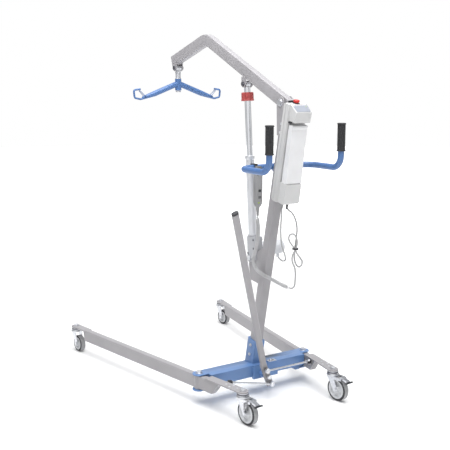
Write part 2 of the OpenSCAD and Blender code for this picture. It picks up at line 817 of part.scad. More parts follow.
// Fork with its swivel bearing, stem nut and axle; the wheel trails to the rear
module fork(wheel_d, trail, top, plate_high, pedal = false) {
    axle_z = wheel_d / 2;
    inner = tyre_w / 2 + 2;
    color("silver") {
        translate([0, 0, top - 14]) cylinder(h = 14, r = 22);
        translate([0, 0, top - 18]) cylinder(h = 4, r = 26);
        translate([0, 0, top]) cylinder(h = plate_high - top + 1, r = 6 - running);
        translate([0, 0, plate_high + gap]) hexagon(11, 8);
        for (s = [-1, 1]) translate([0, s * (inner + 2), 0]) upright(3)
            difference() {
                hull() {
                    translate([-trail, axle_z]) circle(11);
                    translate([-20, top - 19]) square([40, 2]);
                }
                translate([-trail, axle_z]) circle(5);
            }
        translate([-20, -inner - 3, top - 19]) cube([40, 2 * inner + 6, 3]);
        if (pedal) for (s = [-1, 1]) translate([0, s * (inner + 2), 0]) upright(3) difference() {
            polygon([[-18, top - 17], [-18, top - 34], [pedal_x - 8, pedal_z - 8], [pedal_x - 8, top - 17]]);
            translate([pedal_x, pedal_z]) circle(3.5 + running);
        }
        translate([-trail, 0, axle_z]) {
            crossbar(5, 2 * inner + 14);
            for (s = [-1, 1]) rotate([-s * 90, 0, 0]) translate([0, 0, inner + 3.5]) hexagon(8.5, 5);
        }
    }
}

module hub(wheel_d, trail) {
    color("gainsboro") translate([-trail, 0, wheel_d / 2]) difference() {
        union() {
            crossbar(wheel_d / 2 - 15, tyre_w - 8);
            crossbar(11, tyre_w + 2);
        }
        crossbar(5 + running, 60);
    }
}

module tyre(wheel_d, trail) {
    color("dimgray") translate([-trail, 0, wheel_d / 2]) difference() {
        intersection() {
            crossbar(wheel_d / 2, tyre_w);
            tread_crown(wheel_d);
        }
        crossbar(wheel_d / 2 - 15, 60);
    }
}

// Rounds the tread's shoulders
module tread_crown(wheel_d) {
    union() {
        crossbar(wheel_d / 2, tyre_w - 10);
        crossbar(wheel_d / 2 - 3, tyre_w);
    }
}

module at_caster(s, reach) { on_leg(s) translate([reach, 0, 0]) rotate([0, 0, -s * leg_splay + 6]) children(); }

module rear_fork(s) { at_caster(s, -rear_reach) fork(rear_wheel_d, rear_trail, rear_fork_top, plate_top, true); }
module front_fork(s) { at_caster(s, front_reach) fork(front_wheel_d, front_trail, front_fork_top, leg_top); }
module rear_hub(s) { at_caster(s, -rear_reach) hub(rear_wheel_d, rear_trail); }
module front_hub(s) { at_caster(s, front_reach) hub(front_wheel_d, front_trail); }
module rear_tyre(s) { at_caster(s, -rear_reach) tyre(rear_wheel_d, rear_trail); }
module front_tyre(s) { at_caster(s, front_reach) tyre(front_wheel_d, front_trail); }
module rear_fork_left() { rear_fork(1); }
module rear_fork_right() { rear_fork(-1); }
module front_fork_left() { front_fork(1); }
module front_fork_right() { front_fork(-1); }
module rear_hub_left() { rear_hub(1); }
module rear_hub_right() { rear_hub(-1); }
module front_hub_left() { front_hub(1); }
module front_hub_right() { front_hub(-1); }
module rear_tyre_left() { rear_tyre(1); }
module rear_tyre_right() { rear_tyre(-1); }
module front_tyre_left() { front_tyre(1); }
module front_tyre_right() { front_tyre(-1); }

// Foot pedal that locks a rear wheel, on a pin between the fork's ears
module brake_pedal(s) {
    color("black") at_caster(s, -rear_reach) {
        translate([pedal_x, 0, pedal_z]) crossbar(3.5, 37);
        translate([pedal_x, 0, pedal_z]) crossbar(6, tyre_w);
        translate([pedal_x, 0, pedal_z]) rotate([0, -14, 0]) translate([0, 0, -2]) linear_extrude(5)
            polygon([[0, -11], [0, 11], [-37, 11], [-37, 20], [-46, 20], [-46, -20], [-37, -20], [-37, -11]]);
    }
}
pedal_x = -54;
pedal_z = 103;
module brake_pedal_left() { brake_pedal(1); }
module brake_pedal_right() { brake_pedal(-1); }

placed() base_frame();
placed() leg_pivot_bolts();
placed() lever_bracket();
placed() lever_pivot_bolt();
placed() mast();
placed() mast_head();
placed() frame_screws();
placed() boom_pivot_bolt();
placed() actuator_bracket();
placed() actuator_foot_pin();
placed() handlebar();
placed() grip_left();
placed() grip_right();
placed() control_box();
placed() battery_pack();
placed() emergency_button();
placed() control_board();
placed() cable_glands();
placed() motor_cable();
placed() handset();
placed() handset_relief();
placed() up_button();
placed() down_button();
placed() handset_cord();
placed() handset_coil();
placed() boom();
placed() boom_end_caps();
placed() hanger_pin();
placed() rod_pin();
placed() gear_housing();
placed() motor();
placed() actuator_tube();
placed() rod();
placed() rod_eye();
placed() lowering_ring();
placed() hanger();
placed() spreader_bar();
placed() spreader_nut();
placed() hook_gate_left();
placed() hook_gate_right();
placed() lever();
placed() lever_cap();
placed() tie_rod_left();
placed() tie_rod_right();
placed() leg_left();
placed() leg_right();
placed() rear_fork_left();
placed() rear_fork_right();
placed() front_fork_left();
placed() front_fork_right();
placed() rear_hub_left();
placed() rear_hub_right();
placed() front_hub_left();
placed() front_hub_right();
placed() rear_tyre_left();
placed() rear_tyre_right();
placed() front_tyre_left();
placed() front_tyre_right();
placed() brake_pedal_left();
placed() brake_pedal_right();
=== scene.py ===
"""Looks for a mobile patient lift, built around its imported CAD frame.

Metres in the row frame: +X forward, +Y the lift's left, +Z up. Shapes are given in
millimetres in the local frame of what they sit on (mast, actuator, leg, caster, handset).
"""

import json
import math

import bmesh
import bpy
from mathutils import Matrix, Vector


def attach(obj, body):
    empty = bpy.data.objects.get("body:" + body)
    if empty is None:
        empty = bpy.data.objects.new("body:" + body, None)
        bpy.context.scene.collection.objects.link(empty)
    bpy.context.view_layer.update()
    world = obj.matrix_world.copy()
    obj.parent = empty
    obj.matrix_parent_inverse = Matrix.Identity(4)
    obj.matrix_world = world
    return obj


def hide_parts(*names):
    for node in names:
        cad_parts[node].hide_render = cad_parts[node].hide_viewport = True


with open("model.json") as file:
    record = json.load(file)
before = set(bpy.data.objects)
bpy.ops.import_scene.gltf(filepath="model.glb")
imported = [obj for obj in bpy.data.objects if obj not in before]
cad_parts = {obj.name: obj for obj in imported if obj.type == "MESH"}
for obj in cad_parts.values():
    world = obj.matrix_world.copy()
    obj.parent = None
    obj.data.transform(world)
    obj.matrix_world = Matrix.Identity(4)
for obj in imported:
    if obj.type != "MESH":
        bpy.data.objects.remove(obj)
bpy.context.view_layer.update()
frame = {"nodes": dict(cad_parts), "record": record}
BODY_OF = {n: body for body, nodes in frame["record"]["behaviour"]["bodies"].items() for n in nodes}

# ---- Frames of the design, with their millimetre scale ----

MM = Matrix.Scale(0.001, 4)
CENTRE_X = 298
ORIGIN = Matrix.Translation((-CENTRE_X / 1000, 0, 0)) @ MM
LEAN = math.radians(11.8)
SPLAY = math.radians(9.5)
CASTER_TURN = math.radians(6)
ROD_FOOT = Vector((0, 0, 594))
ROD_TOP = Vector((56, 0, 1322))
HANGER_TOP = Vector((634, 0, 1396))
BOOM_PIVOT = Vector((-209, 0, 1251))
BOOM_SLOPE = math.radians(25)
LEVER_PIVOT_Z = 95
LEVER_TILT = math.radians(21.2)
STUD_X = -125.5
STUD_REACH = 34
LEG_TUBE_Z = 96
LEG_TUBE_DEPTH = 56
BUTTON_X = -42
ACT_TILT = math.atan2(ROD_TOP.x - ROD_FOOT.x, ROD_TOP.z - ROD_FOOT.z)
ACT_LEN = (ROD_TOP - ROD_FOOT).length


def moved(x, y, z):
    return Matrix.Translation((x, y, z))


def turned(angle, axis):
    return Matrix.Rotation(angle, 4, axis)


MAST = ORIGIN @ moved(-2, 0, 131) @ turned(-LEAN, "Y")
ACTUATOR = ORIGIN @ moved(*ROD_FOOT) @ turned(ACT_TILT, "Y")
HANDSET = ORIGIN @ moved(-176, 105, 842)
LABEL_FACE = MAST @ moved(-81.8, 0, 1139.4) @ turned(math.radians(-32.2), "Y")


def leg_frame(side):
    return ORIGIN @ moved(0, side * 275, 0) @ turned(side * SPLAY, "Z")


def caster_frame(side, reach):
    return leg_frame(side) @ moved(reach, 0, 0) @ turned(CASTER_TURN - side * SPLAY, "Z")


SIDES = {"left": 1, "right": -1}
# Each caster's place along the leg, trail, wheel diameter, fork height and leg plate height
ENDS = {"rear": {"reach": -265, "trail": 32, "wheel": 100, "top": 123.7, "plate": 130.3},
        "front": {"reach": 946, "trail": 26, "wheel": 80, "top": 117.7, "plate": 124.3}}

# ---- Materials ----


class Look:
    """A procedural material in the making: a principled shader and its texture nodes."""

    def __init__(self, name, color, roughness, metallic=0.0):
        self.material = bpy.data.materials.new(name)
        self.material.use_nodes = True
        self.tree = self.material.node_tree
        self.shader = self.tree.nodes["Principled BSDF"]
        self.set("Base Color", (*color, 1))
        self.set("Roughness", roughness)
        self.set("Metallic", metallic)
        self.color = color
        self.place = self.node("ShaderNodeTexCoord").outputs["Object"]
        self.normal = None

    def node(self, kind, **values):
        n = self.tree.nodes.new(kind)
        for key, value in values.items():
            setattr(n, key, value)
        return n

    def set(self, socket, value):
        self.shader.inputs[socket].default_value = value

    def join(self, a, b):
        self.tree.links.new(a, b)

    def noise(self, scale, detail, stretch=(1, 1, 1)):
        mapping = self.node("ShaderNodeMapping")
        mapping.inputs["Scale"].default_value = stretch
        self.join(self.place, mapping.inputs["Vector"])
        n = self.node("ShaderNodeTexNoise")
        n.inputs["Scale"].default_value = scale
        n.inputs["Detail"].default_value = detail
        self.join(mapping.outputs["Vector"], n.inputs["Vector"])
        return n.outputs["Fac"]

    def ramp(self, fac, low, high):
        n = self.node("ShaderNodeValToRGB")
        n.color_ramp.elements[0].position = 0.3
        n.color_ramp.elements[1].position = 0.7
        n.color_ramp.elements[0].color = (*low, 1)
        n.color_ramp.elements[1].color = (*high, 1)
        self.join(fac, n.inputs["Fac"])
        return n.outputs["Color"]

    def tint(self, fac, spread):
        """Colour from a little darker to a little lighter than the base."""
        low = [c * (1 - spread) for c in self.color]
        high = [min(1, c * (1 + spread)) for c in self.color]
        self.join(self.ramp(fac, low, high), self.shader.inputs["Base Color"])

    def rough(self, fac, low, high):
        n = self.node("ShaderNodeMapRange")
        n.inputs["To Min"].default_value = low
        n.inputs["To Max"].default_value = high
        self.join(fac, n.inputs["Value"])
        self.join(n.outputs["Result"], self.shader.inputs["Roughness"])

    def round_edges(self, radius):
        """Softens the light on sharp edges."""
        n = self.node("ShaderNodeBevel", samples=4)
        n.inputs["Radius"].default_value = radius
        self.normal = n.outputs["Normal"]
        self.join(self.normal, self.shader.inputs["Normal"])

    def bump(self, height, distance, strength):
        n = self.node("ShaderNodeBump")
        n.inputs["Strength"].default_value = strength
        n.inputs["Distance"].default_value = distance
        self.join(height, n.inputs["Height"])
        if self.normal:
            self.join(self.normal, n.inputs["Normal"])
        self.normal = n.outputs["Normal"]
        self.join(self.normal, self.shader.inputs["Normal"])


def powder_coat(name, color, roughness):
    """Powder paint: fine orange peel, a faint mottle, a light clear sheen."""
    k = Look(name, color, roughness)
    k.round_edges(0.0012)
    k.tint(k.noise(9, 4), 0.05)
    k.rough(k.noise(60, 3), roughness - 0.06, roughness + 0.08)
    k.bump(k.noise(620, 2), 0.00003, 0.35)
    k.set("Specular IOR Level", 0.55)
    return k.material


def zinc_plate(name, color=(0.66, 0.67, 0.70)):
    """Bright zinc plating: soft spangle and uneven gloss."""
    k = Look(name, color, 0.3, 1.0)
    k.round_edges(0.0006)
    k.tint(k.noise(140, 5), 0.10)
    k.rough(k.noise(90, 4), 0.20, 0.42)
    k.bump(k.noise(300, 3), 0.00004, 0.5)
    return k.material


def polished_chrome(name):
    """Hard chrome with very fine grinding rings across its length."""
    k = Look(name, (0.83, 0.84, 0.87), 0.07, 1.0)
    k.rough(k.noise(700, 2, (0.1, 0.1, 1)), 0.05, 0.12)
    k.bump(k.noise(900, 2, (0.1, 0.1, 1)), 0.00001, 0.4)
    return k.material


def drawn_aluminium(name):
    """Satin anodised tube with long draw lines."""
    k = Look(name, (0.70, 0.71, 0.74), 0.3, 0.85)
    lines = k.noise(500, 3, (1, 1, 0.015))
    k.tint(lines, 0.06)
    k.rough(lines, 0.26, 0.40)
    k.bump(lines, 0.00004, 0.5)
    return k.material


def moulded_plastic(name, color, roughness=0.45, grain=0.00008):
    """Injection-moulded plastic with a spark-eroded grain."""
    k = Look(name, color, roughness)
    k.round_edges(0.0009)
    k.tint(k.noise(14, 3), 0.03)
    k.rough(k.noise(120, 3), roughness - 0.05, roughness + 0.07)
    k.bump(k.noise(900, 2), grain, 0.6)
    k.set("Specular IOR Level", 0.5)
    return k.material


def foam_grip(name):
    """Closed-cell foam rubber: a pitted, matt skin."""
    k = Look(name, (0.018, 0.018, 0.020), 0.75)
    cells = k.node("ShaderNodeTexVoronoi")
    cells.inputs["Scale"].default_value = 700
    k.join(k.place, cells.inputs["Vector"])
    k.tint(k.noise(200, 4), 0.5)
    k.rough(k.noise(80, 3), 0.6, 0.85)
    k.bump(cells.outputs["Distance"], 0.0003, 0.5)
    return k.material


def tread_rubber(name, color):
    """Non-marking wheel rubber, scuffed and a little dusty."""
    k = Look(name, color, 0.7)
    k.tint(k.noise(70, 5), 0.14)
    k.rough(k.noise(150, 3), 0.55, 0.85)
    k.bump(k.noise(450, 4), 0.00018, 0.6)
    return k.material


def cord_sheath(name, color):
    """Soft extruded sheath with a slight matt haze."""
    k = Look(name, color, 0.48)
    k.tint(k.noise(40, 3), 0.06)
    k.rough(k.noise(200, 3), 0.40, 0.58)
    k.bump(k.noise(800, 2), 0.00006, 0.5)
    return k.material


def circuit_board(name):
    """Solder mask with a chequer of lighter tracks."""
    k = Look(name, (0.02, 0.16, 0.07), 0.35)
    tracks = k.node("ShaderNodeTexBrick")
    tracks.inputs["Scale"].default_value = 220
    k.join(k.place, tracks.inputs["Vector"])
    color = k.ramp(tracks.outputs["Fac"], (0.02, 0.16, 0.07), (0.05, 0.26, 0.12))
    k.join(color, k.shader.inputs["Base Color"])
    return k.material


GREY = powder_coat("frame_grey", (0.335, 0.325, 0.34), 0.40)
BLUE = powder_coat("frame_blue", (0.125, 0.235, 0.47), 0.30)
# The frame's own blue paint made darker: painted shade on the handlebar and the sling bar
BLUE_SHADED = powder_coat("blue_painted_shade", (0.07, 0.155, 0.36), 0.30)
BLUE_GATE = powder_coat("gate_blue", (0.07, 0.14, 0.32), 0.34)
ZINC = zinc_plate("zinc")
# Dark steel for screws, pins and seals, also used as painted shade in the adjuster plate's slot
DARK_STEEL_AND_SHADE = zinc_plate("dark_steel_and_slot_shade", (0.16, 0.16, 0.18))
CHROME = polished_chrome("chrome")
ALUMINIUM = drawn_aluminium("tube_aluminium")
BLACK = moulded_plastic("black_plastic", (0.022, 0.023, 0.028), 0.42)
HOUSING = moulded_plastic("housing_plastic", (0.56, 0.56, 0.56))
ACTUATOR_GREY = moulded_plastic("actuator_plastic", (0.43, 0.435, 0.46))
MOTOR_WHITE = moulded_plastic("motor_plastic", (0.62, 0.63, 0.66))
BATTERY = moulded_plastic("battery_plastic", (0.73, 0.73, 0.74))
LABEL = moulded_plastic("label_film", (0.29, 0.31, 0.36), 0.3, 0.00003)
HANDSET_GREY = moulded_plastic("handset_plastic", (0.27, 0.27, 0.275), 0.5)
HANDSET_DARK = moulded_plastic("handset_dark", (0.10, 0.10, 0.105), 0.5)
RED = moulded_plastic("red_plastic", (0.62, 0.022, 0.018), 0.34)
RING_RED = moulded_plastic("ring_red", (0.38, 0.062, 0.06), 0.38)
GREEN = moulded_plastic("green_mark", (0.35, 0.50, 0.06), 0.4)
GRIP = foam_grip("grip_foam")
TREAD = tread_rubber("tread_rubber", (0.33, 0.33, 0.34))
TYRE_SIDE = tread_rubber("tyre_side", (0.035, 0.035, 0.04))
HUB = moulded_plastic("hub_plastic", (0.62, 0.63, 0.65), 0.32)
CORD = cord_sheath("cord_sheath", (0.36, 0.36, 0.365))
CURL = cord_sheath("curl_sheath", (0.50, 0.50, 0.51))
BOARD = circuit_board("board")

# ---- Mesh helpers ----

# Edges sharper than this many degrees stay sharp in shading, and are the ones that get rounded
SHARP = 32


def piece(name, bm, material, place=None, smooth_angle=SHARP):
    """Makes a piece from a bmesh in the millimetres of a local frame."""
    if place is not None:
        bmesh.ops.transform(bm, matrix=place, verts=bm.verts)
    bmesh.ops.recalc_face_normals(bm, faces=bm.faces)
    mesh = bpy.data.meshes.new(name)
    bm.to_mesh(mesh)
    bm.free()
    for m in material if isinstance(material, (list, tuple)) else [material]:
        mesh.materials.append(m)
    mesh.shade_smooth()
    mesh.set_sharp_from_angle(angle=math.radians(smooth_angle))
    obj = bpy.data.objects.new(name, mesh)
    bpy.context.collection.objects.link(obj)
    return obj


def bevelled(obj, width, segments=3, angle=SHARP):
    """Rounds an object's sharp edges by a width in millimetres."""
    m = obj.modifiers.new("round", "BEVEL")
    m.width = width / 1000
    m.segments = segments
    m.limit_method = "ANGLE"
    m.angle_limit = math.radians(angle)
    m.use_clamp_overlap = False
    m.harden_normals = True
    return obj


def on(obj, node, replaces=()):
    """Rides a piece on a CAD node's body, and hides the CAD nodes it stands for."""
    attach(obj, BODY_OF[node])
    if replaces:
        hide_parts(*replaces)
    return obj


def revolved(profile, steps=64, closed=False):
    """A bmesh turned about Z from (radius, height) points; a radius of 0 closes an end."""
    bm = bmesh.new()
    rings = []
    for r, h in profile:
        if r == 0:
            rings.append([bm.verts.new((0, 0, h))])
        else:
            rings.append([bm.verts.new((r * math.cos(a), r * math.sin(a), h))
                          for a in (2 * math.pi * k / steps for k in range(steps))])
    pairs = list(zip(rings, rings[1:] + rings[:1] if closed else rings[1:]))
    for lower, upper in pairs:
        for k in range(steps):
            corners = [lower[k % len(lower)], lower[(k + 1) % len(lower)],
                       upper[(k + 1) % len(upper)], upper[k % len(upper)]]
            bm.faces.new(list(dict.fromkeys(corners)))
    return bm


def arc(cx, cy, r, start, end, steps=5):
    """Points of an arc, for a profile or outline."""
    return [(cx + r * math.cos(math.radians(start + (end - start) * i / steps)),
             cy + r * math.sin(math.radians(start + (end - start) * i / steps))) for i in range(steps + 1)]


def extruded(outline, low, high):
    """A bmesh of an (x, y) outline from z = low to high."""
    bm = bmesh.new()
    floor = [bm.verts.new((x, y, low)) for x, y in outline]
    roof = [bm.verts.new((x, y, high)) for x, y in outline]
    bm.faces.new(floor[::-1])
    bm.faces.new(roof)
    for i in range(len(outline)):
        j = (i + 1) % len(outline)
        bm.faces.new([floor[i], floor[j], roof[j], roof[i]])
    return bm


def ring_of(outer, inner, height):
    """A band between two outlines of as many points each."""
    bm = bmesh.new()
    loops = [[bm.verts.new((x, y, z)) for x, y in outline]
             for outline, z in ((outer, 0), (outer, height), (inner, height), (inner, 0))]
    for a, b in zip(loops, loops[1:] + loops[:1]):
        for k in range(len(a)):
            j = (k + 1) % len(a)
            bm.faces.new([a[k], a[j], b[j], b[k]])
    return bm


def block(x0, y0, z0, x1, y1, z1):
    return extruded([(x0, y0), (x1, y0), (x1, y1), (x0, y1)], z0, z1)


def rounded_outline(w, h, r, steps=5):
    """A rectangle's outline with round corners."""
    a, b = w / 2 - r, h / 2 - r
    return (arc(a, b, r, 0, 90, steps) + arc(-a, b, r, 90, 180, steps)
            + arc(-a, -b, r, 180, 270, steps) + arc(a, -b, r, 270, 360, steps))


# Turns an outline drawn in X and Y so that it stands in X and Z, extruded along Y
STANDING = turned(math.radians(90), "X")
# Turns a revolved shape's axis from Z to Y, or to X
ALONG_Y = turned(math.radians(-90), "X")
ALONG_X = turned(math.radians(90), "Y")


def joined(parts):
    """One bmesh from several, each with its own local matrix."""
    bm = bmesh.new()
    for part, matrix in parts:
        bmesh.ops.transform(part, matrix=matrix, verts=part.verts)
        mesh = bpy.data.meshes.new("part")
        part.to_mesh(mesh)
        part.free()
        bm.from_mesh(mesh)
        bpy.data.meshes.remove(mesh)
    return bm


def painted(node, material):
    """Gives a CAD node's own mesh its material."""
    mesh = frame["nodes"][node].data
    mesh.materials.clear()
    mesh.materials.append(material)


def rounded_copy(node, width, material, merge_flats=True):
    """A copy of a CAD node's solid with rounded edges, which stands for the node."""
    bm = bmesh.new()
    bm.from_mesh(frame["nodes"][node].data)
    bmesh.ops.remove_doubles(bm, verts=bm.verts, dist=0.00001)
    if merge_flats:
        bmesh.ops.dissolve_limit(bm, angle_limit=math.radians(0.6), verts=bm.verts, edges=bm.edges)
    obj = piece(node + "_rounded", bm, material)
    return on(bevelled(obj, width), node, [node])


# ---- Smooth lines for cords ----


def smooth_line(points, per_span=6):
    """Catmull-Rom points through a route, in metres."""
    pts = [Vector(p) for p in points]
    pts = [pts[0] * 2 - pts[1]] + pts + [pts[-1] * 2 - pts[-2]]
    line = []
    for a, b, c, d in zip(pts, pts[1:], pts[2:], pts[3:]):
        for i in range(per_span):
            t = i / per_span
            line.append(0.5 * (2 * b + (c - a) * t + (2 * a - 5 * b + 4 * c - d) * t ** 2
                               + (3 * b - a - 3 * c + d) * t ** 3))
    return line + [pts[-2]]


def line_length(line):
    return sum((b - a).length for a, b in zip(line, line[1:]))


def even_line(line, step):
    """The same line with points an equal step apart."""
    total = line_length(line)
    count = max(2, round(total / step))
    out, travelled, i = [], 0.0, 0
    for k in range(count + 1):
        goal = total * k / count
        while i < len(line) - 2 and travelled + (line[i + 1] - line[i]).length < goal:
            travelled += (line[i + 1] - line[i]).length
            i += 1
        span = (line[i + 1] - line[i]).length
        out.append(line[i].lerp(line[i + 1], min(1.0, (goal - travelled) / span)))
    return out


def helix(line, radius, pitch, per_turn):
    """A curly cord's line wound round a centreline, easing from straight ends on that line."""
    line = even_line(line, pitch / per_turn)
    side, turn, out = Vector((1, 0, 0)), 0.0, []
    ease = 3 * per_turn
    for i, p in enumerate(line):
        ahead = (line[min(i + 1, len(line) - 1)] - line[max(i - 1, 0)]).normalized()
        side = (side - ahead * side.dot(ahead)).normalized()
        near = min(1.0, i / ease, (len(line) - 1 - i) / ease)
        grow = near * near * (3 - 2 * near)
        out.append(p + radius * grow * (side * math.cos(turn) + ahead.cross(side) * math.sin(turn)))
        turn += 2 * math.pi / per_turn * near
    return out


def cord_curve(name, line, radius, material, sides=4):
    """A round tube along a line, as a curve of one open spline."""
    data = bpy.data.curves.new(name, "CURVE")
    data.dimensions = "3D"
    data.bevel_depth = radius
    data.bevel_resolution = sides
    data.use_fill_caps = True
    spline = data.splines.new("POLY")
    spline.points.add(len(line) - 1)
    for point, p in zip(spline.points, line):
        point.co = (*p, 1)
    spline.use_smooth = True
    data.materials.append(material)
    obj = bpy.data.objects.new(name, data)
    bpy.context.collection.objects.link(obj)
    return obj


def design(points):
    """Route points of the design, from its millimetres to metres in the row frame."""
    return [ORIGIN @ Vector(p) for p in points]


# ---- Camera ----


def make_camera():
    """The picture's view: from behind and to the left, a little above the control box."""
    data = bpy.data.cameras.new("camera")
    data.lens = 64.78
    data.sensor_width = 36
    camera = bpy.data.objects.new("camera", data)
    bpy.context.collection.objects.link(camera)
    centre = Vector((CENTRE_X / 1000, 0, 0))
    eye = Vector((-2.769, 1.941, 1.323)) - centre
    aim = Vector((0.2247, 0, 0.7003)) - centre
    camera.location = eye
    camera.rotation_euler = (aim - eye).to_track_quat("-Z", "Y").to_euler()
    bpy.context.scene.camera = camera


make_camera()

# ---- Cords ----

# The routes of the design, point for point
CORD_ROUTE = [[-214, -12, 845], [-212, -12, 835], [-214, -20, 823], [-216, -33, 813],
    [-219, -44, 797], [-222, -51, 778], [-225, -54, 758], [-228, -53, 737], [-230, -49, 714],
    [-232, -44, 691], [-233, -41, 668], [-234, -48, 648], [-235, -64, 628], [-236, -75, 611],
    [-236, -72, 595], [-236, -57, 590], [-237, -42, 605], [-238, -34, 627], [-239, -33, 647],
    [-240, -32, 666], [-241, -22, 681], [-242, -8, 697], [-243, 0, 714], [-243, -6, 728],
    [-244, -22, 730], [-244, -36, 717], [-245, -41, 698], [-246, -39, 681], [-247, -30, 664],
    [-247, -19, 647], [-247, -15, 628], [-246, -21, 609], [-244, -31, 592], [-240, -38, 571],
    [-236, -42, 550], [-232, -44, 530], [-228, -45, 513], [-221, -43, 501], [-212, -38.8, 496.6],
    [-205, -36, 498]]
COIL_ROUTE = [[-205, -36, 498], [-185, -28, 502], [-160, -14, 512], [-135, 8, 528],
    [-112, 30, 543], [-85, 42, 560], [-66, 45, 585], [-68, 49, 612], [-105, 64, 650],
    [-150, 85, 712], [-172, 100, 760], [-176, 105, 783], [-176, 105, 806]]
MOTOR_ROUTE = [[-214, 14, 845], [-212, 14, 835], [-210, 12, 822], [-206, 10, 794],
    [-202, 9, 766], [-196, 5, 738], [-186, -4, 708], [-170, -20, 680], [-146, -44, 651],
    [-119, -74, 622], [-94, -98, 600], [-68, -118, 582], [-43, -131, 570], [-20, -136, 566],
    [-4, -134, 573], [2, -131, 583], [3, -130, 593]]


def make_cords():
    """The motor's lead, the handset's plain lead with its tie, and the curly part up to the handset."""
    motor = smooth_line(design(MOTOR_ROUTE))
    cable = cord_curve("motor_lead", motor, 0.003, CORD)
    on(cable, "motor_cable", ["motor_cable"])
    plain = smooth_line(design(CORD_ROUTE))
    lead = cord_curve("handset_lead", plain, 0.003, CORD)
    on(lead, "handset_cord", ["handset_cord"])
    band = ring_of(rounded_outline(25, 20, 8), rounded_outline(22, 17, 7), 7)
    tie = bevelled(piece("cord_tie", band, BLACK, ORIGIN @ moved(-239.8, -36.5, 664)), 0.6, 2)
    on(tie, "handset_cord")
    curl = helix(smooth_line(design(COIL_ROUTE)), 0.0058, 0.0052, 14)
    coil = cord_curve("handset_curl", curl, 0.0023, CURL, 2)
    on(coil, "handset_coil", ["handset_coil"])


make_cords()

# ---- Welded frame ----


def swept_box(line, width, depth, corner):
    """A closed box tube along a line in X and Z, with rounded corners."""
    bm = bmesh.new()
    rings = []
    for i, p in enumerate(line):
        ahead = (line[min(i + 1, len(line) - 1)] - line[max(i - 1, 0)]).normalized()
        up = Vector((-ahead.z, 0, ahead.x))
        rings.append([bm.verts.new(p + Vector((0, a, 0)) + up * b)
                      for a, b in rounded_outline(width, depth, corner)])
    for lower, upper in zip(rings, rings[1:]):
        for k in range(len(lower)):
            j = (k + 1) % len(lower)
            bm.faces.new([lower[k], lower[j], upper[j], upper[k]])
    bm.faces.new(rings[0][::-1])
    bm.faces.new(rings[-1])
    return bm


def plate_bm(outline, y0, y1):
    """A plate with its outline in X and Z, from y0 to y1."""
    bm = extruded(outline, -y1, -y0)
    bmesh.ops.transform(bm, matrix=STANDING, verts=bm.verts)
    return bm


def weld(name, corners, place, node, material, radius=2.2, closed=True):
    """A rippled weld bead along a line."""
    pts = [place @ Vector(c) for c in corners]
    line = even_line(pts + pts[:1] if closed else pts, 0.0022)
    if closed:
        line = line[:-1]
    obj = cord_curve(name, line, radius / 1000, material, 2)
    for i, point in enumerate(obj.data.splines[0].points):
        point.radius = 1.0 if i % 2 else 0.82
    obj.data.splines[0].use_cyclic_u = closed
    return on(obj, node)


def make_mast():
    outline = rounded_outline(40, 40, 4)
    tube = piece("mast_tube", extruded(outline, 6, 1100), GREY, MAST)
    on(tube, "mast", ["mast"])
    rounded_copy("mast_head", 0.9, GREY)
    rounded_copy("actuator_bracket", 0.9, GREY)
    for label in ("right", "left"):
        y = SIDES[label] * 12
        weld(f"bracket_weld_{label}", [(20.5, y, 366), (20.5, y, 528)], MAST, "mast", GREY, 1.8,
             False)


def make_boom():
    """The bent boom with its pivot bush and two pairs of ears, drawn along its rear part."""
    bend, fall, knee, steps = 90, math.radians(42), 635, 12
    start = knee - bend * math.tan(fall / 2)
    line = [Vector((-33, 0, 0)), Vector((start, 0, 0))]
    for t in range(1, steps + 1):
        a = fall * t / steps
        line.append(Vector((start + bend * math.sin(a), 0, bend * (math.cos(a) - 1))))
    line.append(Vector((knee, 0, 0)) + Vector((math.cos(fall), 0, -math.sin(fall))) * 314)
    place = ORIGIN @ moved(*BOOM_PIVOT) @ turned(-BOOM_SLOPE, "Y")
    parts = [(swept_box(line, 30, 50, 4), Matrix())]
    bush = revolved([(8.1, -19.7), (13, -19.7), (13, 19.7), (8.1, 19.7)], 48, True)
    parts.append((bush, ALONG_Y))
    level = turned(BOOM_SLOPE, "Y") @ moved(*-BOOM_PIVOT)
    for pin, top in ((ROD_TOP, 1352), (HANGER_TOP, 1429)):
        ear = arc(pin.x, pin.z, 15, 180, 360, 16) + [(pin.x + 15, top), (pin.x - 15, top)]
        for inner, outer in ((-19, -14), (14, 19)):
            parts.append((plate_bm(ear, inner, outer), level))
    boom = bevelled(piece("boom_tube", joined(parts), GREY, place), 0.8, 2)
    on(boom, "boom", ["boom"])
    caps = rounded_copy("boom_end_caps", 1.0, BLACK)
    caps.data.materials.append(GREY)
    for face in caps.data.polygons:
        face.material_index = 1 if face.center.x > 0 else 0
    for name, pin, rear, front in (("rod", ROD_TOP, 1347, 1360), ("hanger", HANGER_TOP, 1424, 1416)):
        for label, side in SIDES.items():
            ends = [(pin.x - 14, side * 19, rear), (pin.x + 14, side * 19, front)]
            weld(f"{name}_ear_weld_{label}", ends, ORIGIN, "boom", GREY, 1.4, False)


